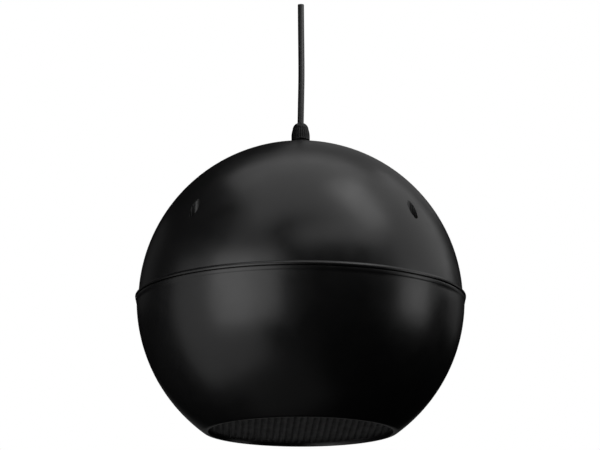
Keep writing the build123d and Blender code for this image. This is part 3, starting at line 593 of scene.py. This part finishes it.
class LOUDSPEAKER_OT_dome(Operator):
    """Model the upper half of the ball, with its screw wells"""

    bl_idname = "loudspeaker.dome"
    bl_label = "Dome"

    def execute(self, context):
        sizes = context.scene.loudspeaker.shell
        finish = context.scene.loudspeaker.finish
        radius = sizes.dome_radius
        lining = radius - sizes.wall
        centre_z = SEAM_Z - sizes.dome_drop
        spigot = reach(sizes.bowl_radius - sizes.wall, sizes.bowl_drop) - sizes.spigot_gap
        spigot_inside = spigot - sizes.spigot_wall
        flare_top = reach(radius, sizes.flare_height + sizes.dome_drop)
        flare = sizes.flare_height - sizes.hem_top
        hem_foot_z = SEAM_Z - sizes.hem_drop
        hem_top_z = SEAM_Z + sizes.hem_top
        spot_radius = reach(radius, POLE_Z - centre_z)
        pad_z = centre_z + radius - sizes.pad_drop

        mesh = bmesh.new()
        pen = Pen(mesh, sizes.hem_inside, SEAM_Z)
        pen.line(
            (sizes.hem_inside, hem_foot_z),
            (sizes.hem_radius - sizes.hem_draft, hem_foot_z),
            (sizes.hem_radius, hem_top_z),
            (flare_top + flare, hem_top_z),
        )
        pen.arc(flare_top + flare, SEAM_Z + sizes.flare_height, -math.pi / 2, 12)
        start = math.atan2(sizes.flare_height + sizes.dome_drop, flare_top)
        end = math.atan2(POLE_Z - centre_z, spot_radius)
        pen.arc(0, centre_z, end - start, 96)
        pen.line(
            (sizes.gland_hole_radius, POLE_Z),
            (sizes.gland_hole_radius, pad_z),
            (sizes.pad_radius, pad_z),
            (sizes.pad_radius, centre_z + reach(lining, sizes.pad_radius)),
        )
        start = math.acos(sizes.pad_radius / lining)
        end = math.acos(spigot_inside / lining)
        pen.arc(0, centre_z, end - start, 48)
        pen.line(
            (spigot_inside, SEAM_Z - sizes.spigot_depth),
            (spigot, SEAM_Z - sizes.spigot_depth),
            (spigot, SEAM_Z),
        )
        pen.close()
        spin_profile(mesh, sizes.turn_steps)
        for edge, z in ((sizes.hem_radius - sizes.hem_draft, hem_foot_z), (sizes.hem_radius, hem_top_z)):
            round_edges(mesh, ring_edges(mesh, edge, z), sizes.hem_round, 4)
        dome = finish_piece("dome", mesh)

        boss = sizes.well_radius + sizes.well_wall
        inside = radius - sizes.wall / 2
        bosses = well_columns(sizes, boss, SEAM_Z, lambda out: centre_z + reach(inside, out))
        shape_by(dome, bosses, "UNION")
        wells = well_columns(sizes, sizes.well_radius, SEAM_Z + sizes.well_floor, lambda out: POLE_Z)
        shape_by(dome, wells, "DIFFERENCE")
        round_mouths(dome, sizes, centre_z)
        smooth(dome, 30.0)
        ball_normals(dome, centre_z, radius)
        dress(dome, moulded_plastic("satin_black_plastic", finish.shell, finish.shell_roughness))
        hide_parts("upper_shell")
        return {"FINISHED"}


class LOUDSPEAKER_OT_bowl(Operator):
    """Model the lower half of the ball, with its bead, rim and lip"""

    bl_idname = "loudspeaker.bowl"
    bl_label = "Bowl"

    def execute(self, context):
        sizes = context.scene.loudspeaker.shell
        radius = sizes.bowl_radius
        lining = radius - sizes.wall
        centre_z = SEAM_Z - sizes.bowl_drop
        lip_z = RIM_Z + sizes.lip_height
        bead_foot_z = SEAM_Z - sizes.bead_foot_drop
        bead_foot = reach(radius, bead_foot_z - centre_z)
        bead_top_z = SEAM_Z - sizes.bead_drop
        step = sizes.hem_inside - sizes.spigot_gap
        rebate_z = SEAM_Z - sizes.rebate_depth

        mesh = bmesh.new()
        pen = Pen(mesh, sizes.rim_radius, RIM_Z)
        start = math.atan2(RIM_Z - centre_z, sizes.rim_radius)
        end = math.atan2(bead_foot_z - centre_z, bead_foot)
        pen.arc(0, centre_z, end - start, 72)
        bead_x, bead_z, bead_turn = arc_through(
            (bead_foot, bead_foot_z),
            (sizes.bead_middle_radius, SEAM_Z - sizes.bead_middle_drop),
            (sizes.bead_radius, bead_top_z),
        )
        pen.arc(bead_x, bead_z, bead_turn, 12)
        pen.line(
            (step, bead_top_z),
            (step, SEAM_Z),
            (lining + sizes.rebate, SEAM_Z),
            (lining + sizes.rebate, rebate_z),
            (reach(lining, rebate_z - centre_z), rebate_z),
        )
        start = math.atan2(rebate_z - centre_z, reach(lining, rebate_z - centre_z))
        end = math.atan2(lip_z - centre_z, reach(lining, lip_z - centre_z))
        pen.arc(0, centre_z, end - start, 48)
        pen.line((sizes.opening_radius, lip_z), (sizes.opening_radius, RIM_Z))
        pen.close()
        spin_profile(mesh, sizes.turn_steps)
        round_edges(mesh, ring_edges(mesh, sizes.rim_radius, RIM_Z), sizes.rim_round, 6)
        round_edges(mesh, ring_edges(mesh, sizes.opening_radius, RIM_Z), sizes.edge_round, 3)
        round_edges(mesh, ring_edges(mesh, sizes.bead_radius, bead_top_z), sizes.hem_round, 4)
        bowl = finish_piece("bowl", mesh)
        dress(bowl, bpy.data.materials["satin_black_plastic"])
        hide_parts("lower_shell")
        return {"FINISHED"}


class LOUDSPEAKER_OT_grille(Operator):
    """Model the perforated sheet in the opening"""

    bl_idname = "loudspeaker.grille"
    bl_label = "Perforated sheet"

    def execute(self, context):
        sizes = context.scene.loudspeaker.grille
        finish = context.scene.loudspeaker.finish
        radius = grille_high.x
        column = sizes.pitch * math.sqrt(3) / 2
        hole_reach = radius - sizes.margin - sizes.cad_hole_side / math.sqrt(2)
        columns = int(hole_reach / column)
        rows = int(hole_reach / sizes.pitch) + 1
        mesh = bmesh.new()
        for i in range(-columns, columns + 1):
            for j in range(-rows, rows + 1):
                place = Vector((i * column, j * sizes.pitch + sizes.pitch / 2 * (i % 2), grille_low.z))
                if math.hypot(place.x, place.y) <= hole_reach:
                    bmesh.ops.create_circle(
                        mesh, segments=sizes.hole_steps, radius=sizes.hole_radius, matrix=Matrix.Translation(place)
                    )
        bmesh.ops.create_circle(
            mesh, segments=128, radius=radius, matrix=Matrix.Translation((0, 0, grille_low.z))
        )
        bmesh.ops.triangle_fill(mesh, use_beauty=True, edges=mesh.edges, normal=(0, 0, 1))
        raise_faces(mesh, grille_high.z - grille_low.z)
        bmesh.ops.recalc_face_normals(mesh, faces=mesh.faces)
        sheet = finish_piece("perforated_sheet", mesh)
        dress(sheet, painted_sheet("black_paint", finish.sheet, finish.sheet_roughness))
        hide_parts("grille")
        return {"FINISHED"}


class LOUDSPEAKER_OT_cable(Operator):
    """Draw the cable from the gland up to its cut end"""

    bl_idname = "loudspeaker.cable"
    bl_label = "Cable"

    def execute(self, context):
        sizes = context.scene.loudspeaker.cable
        finish = context.scene.loudspeaker.finish
        span = cable_high.z - cable_low.z
        curve = bpy.data.curves.new("cable_sheath", "CURVE")
        curve.dimensions = "3D"
        curve.bevel_depth = 1.0
        curve.bevel_resolution = 12
        curve.use_fill_caps = True
        spline = curve.splines.new("NURBS")
        sway = (0, 0.5, 1, 0.8, 0.5, 0.3)  # parts of the bow, from the gland up
        lift = span / (len(sway) - 1)
        route = [(sizes.bow * part, 0, cable_low.z + lift * step) for step, part in enumerate(sway)]
        spline.points.add(len(route) - 1)
        for point, place in zip(spline.points, route):
            point.co = (*place, 1)
            point.radius = sizes.radius
        spline.order_u = 3
        spline.use_endpoint_u = True
        sheath = new_object("cable_sheath", curve)
        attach(sheath, "root")
        skin = rubber("black_sheath", finish.sheath, finish.sheath_roughness, stretch=(1, 1, 0.1), specular=0.8)
        dress(sheath, skin)
        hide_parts("cable")

        stub = 0.001  # how far the ends are sunk into the sheath
        for name, radius, proud, material in (
            ("core_ends", sizes.core_radius, 0.00003, rubber("core_insulation", (0.35, 0.32, 0.28), 0.5)),
            ("wire_ends", sizes.wire_radius, 0.00006, metal("cut_copper", (0.75, 0.38, 0.2), 0.35)),
        ):
            mesh = bmesh.new()
            for x in (-sizes.core_spacing / 2, sizes.core_spacing / 2):
                top = cable_high.z + proud
                corners = round_bar(mesh, radius, top - 2 * stub, top, 24, x)
                edges = {edge for corner in corners for edge in corner.link_edges}
                rim = [edge for edge in edges if min(corner.co.z for corner in edge.verts) > cable_high.z]
                round_edges(mesh, rim, proud / 2, 2)
            piece = finish_piece(name, mesh)
            dress(piece, material)
        return {"FINISHED"}


class LOUDSPEAKER_OT_gland(Operator):
    """Model the cable gland: its fluted cap nut and its hexagon flange"""

    bl_idname = "loudspeaker.gland"
    bl_label = "Cable gland"

    def execute(self, context):
        sizes = context.scene.loudspeaker.gland
        finish = context.scene.loudspeaker.finish
        nylon = moulded_plastic("black_nylon", finish.nylon, finish.nylon_roughness, mottle=60.0, specular=0.22)

        mesh = bmesh.new()
        foot = NUT_TOP_Z - sizes.nut_height
        shoulder = (sizes.shoulder_radius, foot + sizes.shoulder_height)
        pen = Pen(mesh, sizes.foot_radius, foot)
        pen.line((sizes.waist_radius, foot + sizes.foot_height))
        for step in range(5):
            pen.line((sizes.waist_radius, foot + sizes.collar_height + sizes.flute_run * step / 4))
        pen.line((sizes.waist_radius, foot + sizes.waist_height))
        middle = (sizes.waist_radius - sizes.flank_dip, foot + sizes.flank_height)
        pen.arc(*arc_through((sizes.waist_radius, foot + sizes.waist_height), middle, shoulder), 16)
        crown = (sizes.crown_radius, foot + sizes.crown_height)
        pen.arc(*arc_through(shoulder, crown, (sizes.mouth_radius, NUT_TOP_Z)), 20)
        pen.line(
            (sizes.bore_radius, NUT_TOP_Z),
            (sizes.bore_radius, NUT_TOP_Z - sizes.bore_height),
            (sizes.thread_radius, NUT_TOP_Z - sizes.bore_height - sizes.cone_height),
            (sizes.thread_radius, foot),
        )
        pen.close()
        spin_profile(mesh, sizes.flute_count * sizes.flute_steps)
        press_flutes(mesh, sizes, foot)
        for radius, z in (
            (sizes.foot_radius, foot),
            (sizes.waist_radius, foot + sizes.foot_height),
            (sizes.bore_radius, NUT_TOP_Z),
        ):
            round_edges(mesh, ring_edges(mesh, radius, z), sizes.edge_round, 3)
        nut = finish_piece("cap_nut", mesh, sharp=40.0)
        dress(nut, nylon)
        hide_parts("gland_nut")

        flange_top = foot - sizes.nut_gap
        flange_height = flange_top - POLE_Z
        corner = sizes.flange_flats / math.sqrt(3)
        mesh = bmesh.new()
        bmesh.ops.create_circle(
            mesh, cap_ends=True, segments=6, radius=corner, matrix=Matrix.Translation((0, 0, POLE_Z))
        )
        raise_faces(mesh, flange_height)
        upright = [edge for edge in mesh.edges if abs(edge.verts[0].co.z - edge.verts[1].co.z) > flange_height / 2]
        round_edges(mesh, upright, sizes.edge_round, 4)
        bmesh.ops.recalc_face_normals(mesh, faces=mesh.faces)
        body = finish_piece("gland_flange", mesh)
        cone = bmesh.new()
        pen = Pen(cone, 0, POLE_Z)
        pen.line(
            (sizes.flange_flats / 2, POLE_Z),
            (corner, POLE_Z + sizes.flange_chamfer),
            (corner, flange_top - sizes.flange_chamfer),
            (sizes.flange_flats / 2, flange_top),
            (0, flange_top),
        )
        spin_profile(cone, 96)
        shape_by(body, cone, "INTERSECT")
        stem = bmesh.new()
        round_bar(stem, sizes.stem_radius, gland_low.z, gland_high.z, 96)
        shape_by(body, stem, "UNION")
        bore = bmesh.new()
        past = (gland_high.z - gland_low.z) / 4
        round_bar(bore, sizes.bore_radius, gland_low.z - past, gland_high.z + past, 96)
        shape_by(body, bore, "DIFFERENCE")
        smooth(body, 25.0)
        dress(body, nylon)
        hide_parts("gland_body")
        return {"FINISHED"}


def press_flutes(mesh, sizes, foot):
    """Presses rounded flutes into the nut's outside, from the collar up to the crown."""
    for vertex in mesh.verts:
        out = math.hypot(vertex.co.x, vertex.co.y)
        height = vertex.co.z - foot
        if out > sizes.crown_radius - 1e-6 and height > sizes.collar_height:
            start = min(1, (height - sizes.collar_height) / sizes.flute_run)
            finish = max(0, min(1, (sizes.crown_height - height) / (sizes.crown_height - sizes.shoulder_height)))
            turn = math.atan2(vertex.co.y, vertex.co.x) * sizes.flute_count
            depth = sizes.flute_depth * (0.5 - 0.5 * math.cos(turn)) ** 1.5 * start * finish
            vertex.co.xy *= (out - depth) / out


class LOUDSPEAKER_OT_inside(Operator):
    """Give every piece inside the ball its finish"""

    bl_idname = "loudspeaker.inside"
    bl_label = "Inner pieces"

    def execute(self, context):
        nylon = bpy.data.materials["black_nylon"]
        matt_plastic = moulded_plastic("matt_black_plastic", (0.02, 0.02, 0.02), 0.6)
        foam = rubber("gasket_foam", (0.03, 0.03, 0.03), 0.85)
        zinc = metal("zinc_plate", (0.62, 0.62, 0.6), 0.35)
        paint = painted_sheet("basket_paint", (0.02, 0.02, 0.02), 0.6)
        pulp = pressed_pulp("cone_pulp", (0.03, 0.028, 0.026))
        copper = wound_wire("wound_copper", (0.72, 0.34, 0.16))
        cores = rubber("core_red", (0.35, 0.04, 0.03), 0.45)
        finishes = {
            "lock_nut": nylon,
            "gland_seal": foam,
            "seam_gasket": foam,
            "driver_gasket": foam,
            "baffle": matt_plastic,
            "terminal_strip": matt_plastic,
            "shell_screws": zinc,
            "baffle_screws": zinc,
            "driver_screws": zinc,
            "transformer_screws": zinc,
            "hanger": zinc,
            "basket": paint,
            "cone": pulp,
            "dust_cap": pulp,
            "surround": woven("doped_cloth", (0.025, 0.025, 0.025)),
            "spider": woven("spider_cloth", (0.5, 0.34, 0.14), pitch=0.0012),
            "voice_coil": copper,
            "flexible_leads": copper,
            "transformer_winding": copper,
            "transformer_core": laminations("core_laminations", (0.3, 0.3, 0.31)),
            "top_plate": zinc,
            "back_plate": zinc,
            "magnet": painted_sheet("fired_ferrite", (0.05, 0.05, 0.052), 0.5),
            "stop_collar": metal("turned_brass", (0.8, 0.6, 0.3), 0.3, stretch=(1, 1, 12)),
            "terminal_block": moulded_plastic("pale_plastic", (0.7, 0.7, 0.66), 0.3),
            "cable_tail": bpy.data.materials["black_sheath"],
            "cable_cores": cores,
            "driver_wires": cores,
            "wadding": fibre_fill("white_fibre", (0.75, 0.75, 0.72)),
        }
        for name, material in finishes.items():
            dress(nodes[name], material)
        return {"FINISHED"}


class LOUDSPEAKER_OT_studio(Operator):
    """Set the floor, the light and the camera"""

    bl_idname = "loudspeaker.studio"
    bl_label = "Studio"

    def execute(self, context):
        settings = context.scene.loudspeaker.studio
        scene = context.scene
        scene.view_settings.view_transform = "Standard"

        mesh = bmesh.new()
        under = Matrix.Translation((0, 0, RIM_Z - settings.floor_drop))
        bmesh.ops.create_grid(mesh, x_segments=1, y_segments=1, size=settings.floor_side / 2, matrix=under)
        floor = mesh_object("floor", mesh)
        dress(floor, pale_floor())
        mesh = bmesh.new()
        round_ball = Matrix.Translation((0, 0, SEAM_Z))
        bmesh.ops.create_icosphere(mesh, subdivisions=4, radius=settings.flag_radius, matrix=round_ball)
        cloth = mesh_object("flag", mesh)
        cloth.visible_camera = False
        cloth.visible_shadow = False
        dress(cloth, black_velvet())

        world = bpy.data.worlds.new("studio")
        scene.world = world
        world.use_nodes = True
        tree = world.node_tree
        back = tree.nodes["Background"]
        path = tree.nodes.new("ShaderNodeLightPath")
        seen = path.outputs["Is Camera Ray"]
        for ray in ("Is Glossy Ray", "Is Transmission Ray"):
            either = tree.nodes.new("ShaderNodeMath")
            either.operation = "MAXIMUM"
            tree.links.new(seen, either.inputs[0])
            tree.links.new(path.outputs[ray], either.inputs[1])
            seen = either.outputs[0]
        level = tree.nodes.new("ShaderNodeMapRange")
        level.inputs["To Min"].default_value = settings.world_light
        level.inputs["To Max"].default_value = 1.0
        tree.links.new(seen, level.inputs["Value"])
        tree.links.new(level.outputs["Result"], back.inputs["Strength"])
        back.inputs["Color"].default_value = (1, 1, 1, 1)

        for name, azimuth, elevation, distance, width, height, radiance in LAMPS:
            soft_box(name, azimuth, elevation, distance, width, height, radiance)

        camera = bpy.data.cameras.new("camera")
        camera.lens = settings.lens
        camera.sensor_width = 36.0
        camera.shift_x = settings.shift_x
        camera.shift_y = settings.shift_y
        camera.clip_end = 50.0
        eye = new_object("camera", camera)
        turn = settings.camera_turn
        eye.location = (
            settings.camera_distance * math.sin(turn),
            -settings.camera_distance * math.cos(turn),
            SEAM_Z - settings.camera_drop,
        )
        eye.rotation_euler = (math.pi / 2 + settings.camera_pitch, 0, turn)
        scene.camera = eye
        return {"FINISHED"}


# Name, azimuth and elevation seen from the ball in degrees, distance, width and height in metres, radiance
LAMPS = [
    ("overhead_box", 0, 78, 0.92, 1.07, 1.1, 0.86),
    ("overhead_front", 26, 34, 0.74, 0.75, 0.17, 1.15),
    ("high_spot", 53, 52, 0.56, 0.19, 0.32, 1.6),
    ("left_box", -36.5, -0.5, 0.56, 0.45, 0.45, 1.5),
    ("left_wide_box", -62, -15, 0.58, 0.67, 0.83, 0.52),
    ("left_high_box", -37, 36, 0.71, 0.3, 0.26, 0.42),
    ("right_box", 80.5, 0, 1.32, 0.56, 0.5, 1.68),
    ("right_back_box", 98, 35, 1.22, 1.48, 1.1, 0.67),
    ("right_far_box", 126, 5, 0.9, 0.35, 0.22, 0.16),
    ("front_right_strip", 55, 15, 0.9, 0.3, 0.14, 0.3),
    ("back_box", 156, 54, 0.58, 0.32, 0.6, 0.18),
    ("rear_low_box", 180, -8, 1.3, 0.8, 0.5, 0.12),
    ("low_box", -31, -68, 0.91, 0.78, 0.79, 0.085),
    ("left_far_box", -135, 18, 1.0, 0.4, 0.4, 0.05),
]


def pale_floor():
    """Matt pale floor."""
    recipe = Recipe("pale_floor")
    recipe.tint(recipe.noise(3.0), (0.78, 0.78, 0.78), (0.82, 0.82, 0.82))
    recipe.fix("Roughness", 0.9)
    recipe.fix("Emission Color", (0.55, 0.55, 0.55, 1))
    path = recipe.add("ShaderNodeLightPath")
    recipe.link(path.outputs["Is Camera Ray"], recipe.shader.inputs["Emission Strength"])
    return recipe.material


def black_velvet():
    """Black cloth that gives nothing back."""
    recipe = Recipe("black_velvet")
    recipe.tint(recipe.noise(5.0), (0.004, 0.004, 0.004), (0.006, 0.006, 0.006))
    recipe.fix("Roughness", 1.0)
    recipe.fix("Specular IOR Level", 0.0)
    return recipe.material


def soft_box(name, azimuth, elevation, distance, width, height, radiance):
    """A rectangular lamp that faces the ball. Azimuth 0 is the front and 90 is +X."""
    level = math.cos(math.radians(elevation))
    away = Vector((
        math.sin(math.radians(azimuth)) * level,
        -math.cos(math.radians(azimuth)) * level,
        math.sin(math.radians(elevation)),
    ))
    lamp = bpy.data.lights.new(name, "AREA")
    lamp.shape = "RECTANGLE"
    lamp.size = width
    lamp.size_y = height
    lamp.energy = radiance * math.pi * width * height
    box = new_object(name, lamp)
    box.visible_camera = False
    box.location = Vector((0, 0, SEAM_Z)) + away * distance
    box.rotation_euler = away.to_track_quat("Z", "Y").to_euler()


class LOUDSPEAKER_PT_panel(Panel):
    """Lists the loudspeaker's pieces and sizes"""

    bl_idname = "LOUDSPEAKER_PT_panel"
    bl_label = "Loudspeaker"
    bl_space_type = "VIEW_3D"
    bl_region_type = "UI"
    bl_category = "Loudspeaker"

    def draw(self, context):
        for operator in PIECES:
            self.layout.operator(operator.bl_idname)
        settings = context.scene.loudspeaker
        for part in settings.__annotations__:
            group = getattr(settings, part)
            box = self.layout.box()
            for name in group.__annotations__:
                box.prop(group, name)


PIECES = (
    LOUDSPEAKER_OT_cable,
    LOUDSPEAKER_OT_dome,
    LOUDSPEAKER_OT_bowl,
    LOUDSPEAKER_OT_grille,
    LOUDSPEAKER_OT_gland,
    LOUDSPEAKER_OT_inside,
    LOUDSPEAKER_OT_studio,
)
GROUPS = (ShellSizes, GrilleSizes, GlandSizes, CableSizes, Finishes, StudioSettings, LoudspeakerSettings)


def register():
    for item in (*GROUPS, *PIECES, LOUDSPEAKER_PT_panel):
        bpy.utils.register_class(item)
    bpy.types.Scene.loudspeaker = PointerProperty(type=LoudspeakerSettings)


def unregister():
    del bpy.types.Scene.loudspeaker
    for item in reversed((*GROUPS, *PIECES, LOUDSPEAKER_PT_panel)):
        bpy.utils.unregister_class(item)


def main():
    register()
    bpy.ops.loudspeaker.cable()
    bpy.ops.loudspeaker.dome()
    bpy.ops.loudspeaker.bowl()
    bpy.ops.loudspeaker.grille()
    bpy.ops.loudspeaker.gland()
    bpy.ops.loudspeaker.inside()
    bpy.ops.loudspeaker.studio()


if __name__ == "__main__":
    main()
